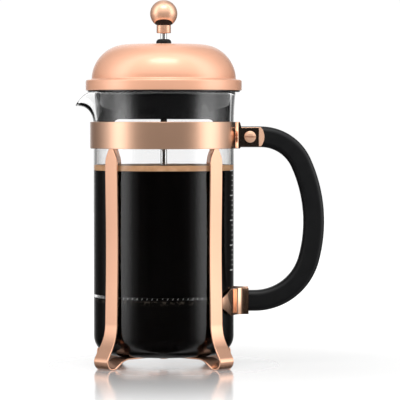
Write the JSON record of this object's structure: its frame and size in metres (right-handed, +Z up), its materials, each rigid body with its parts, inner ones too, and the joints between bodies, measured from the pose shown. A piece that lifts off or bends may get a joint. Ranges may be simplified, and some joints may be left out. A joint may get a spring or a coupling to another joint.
{
  "type": "french press",
  "caption": "Glass coffee press in a copper-coloured sheet-metal frame, with a D-shaped handle, a domed lid and a filter plunger.",
  "frame": {"origin": "on the table, under the beaker's axis", "axes": "+Z up along the beaker's axis, +X to the handle, -X to the spout"},
  "size_m": [0.171, 0.1072, 0.2508],
  "materials": {
    "polished_copper": "polished copper plating on steel",
    "satin_copper": "satin copper plating on steel",
    "glass": "clear borosilicate glass",
    "black_plastic": "semi-gloss black plastic",
    "handle_plastic": "matte black plastic",
    "steel": "stainless steel"
  },
  "bodies": {
    "frame": {"frame_band": "polished_copper", "leg_strap_a": "polished_copper", "leg_strap_b": "polished_copper", "base_rivet": "polished_copper", "lower_bracket": "polished_copper", "handle": "handle_plastic"},
    "screw": {"clamp_screw": "polished_copper"},
    "nut": {"clamp_nut": "polished_copper"},
    "beaker": {"beaker": "glass"},
    "stem": {"stem_bushing": "black_plastic", "bushing_nut": "black_plastic"},
    "lid": {"lid_dome": "satin_copper", "spill_guard": "black_plastic"},
    "plunger": {"rod": "steel", "rod_collar": "steel"},
    "filter": {"spring_plate": "steel", "edge_spring": "steel", "mesh_screen": "steel", "cross_plate": "steel", "hub_nut": "steel"},
    "knob": {"knob_ball": "polished_copper", "knob_insert": "black_plastic", "knob_ferrule": "polished_copper"}
  },
  "joints": [
    {"name": "screw_turn", "type": "hinge", "parent": "frame", "child": "screw", "pos_m": [0.0591, 0, 0.1569], "axis": [0, 1, 0], "continuous": true},
    {"name": "nut_turn", "type": "hinge", "parent": "frame", "child": "nut", "pos_m": [0.0591, 0, 0.1569], "axis": [0, 1, 0], "continuous": true},
    {"name": "beaker_lift", "type": "slide", "parent": "frame", "child": "beaker", "axis": [0, 0, 1], "range_m": [0, 0.165]},
    {"name": "lid_lift", "type": "slide", "parent": "beaker", "child": "stem", "axis": [0, 0, 1], "range_m": [0, 0.15]},
    {"name": "lid_turn", "type": "hinge", "parent": "stem", "child": "lid", "pos_m": [0, 0, 0.22], "axis": [0, 0, 1], "continuous": true},
    {"name": "plunge", "type": "slide", "parent": "stem", "child": "plunger", "axis": [0, 0, 1], "range_m": [-0.0039, 0.108]},
    {"name": "filter_turn", "type": "hinge", "parent": "plunger", "child": "filter", "pos_m": [0, 0, 0.048], "axis": [0, 0, 1], "continuous": true},
    {"name": "knob_turn", "type": "hinge", "parent": "plunger", "child": "knob", "pos_m": [0, 0, 0.2414], "axis": [0, 0, 1], "continuous": true}
  ]
}
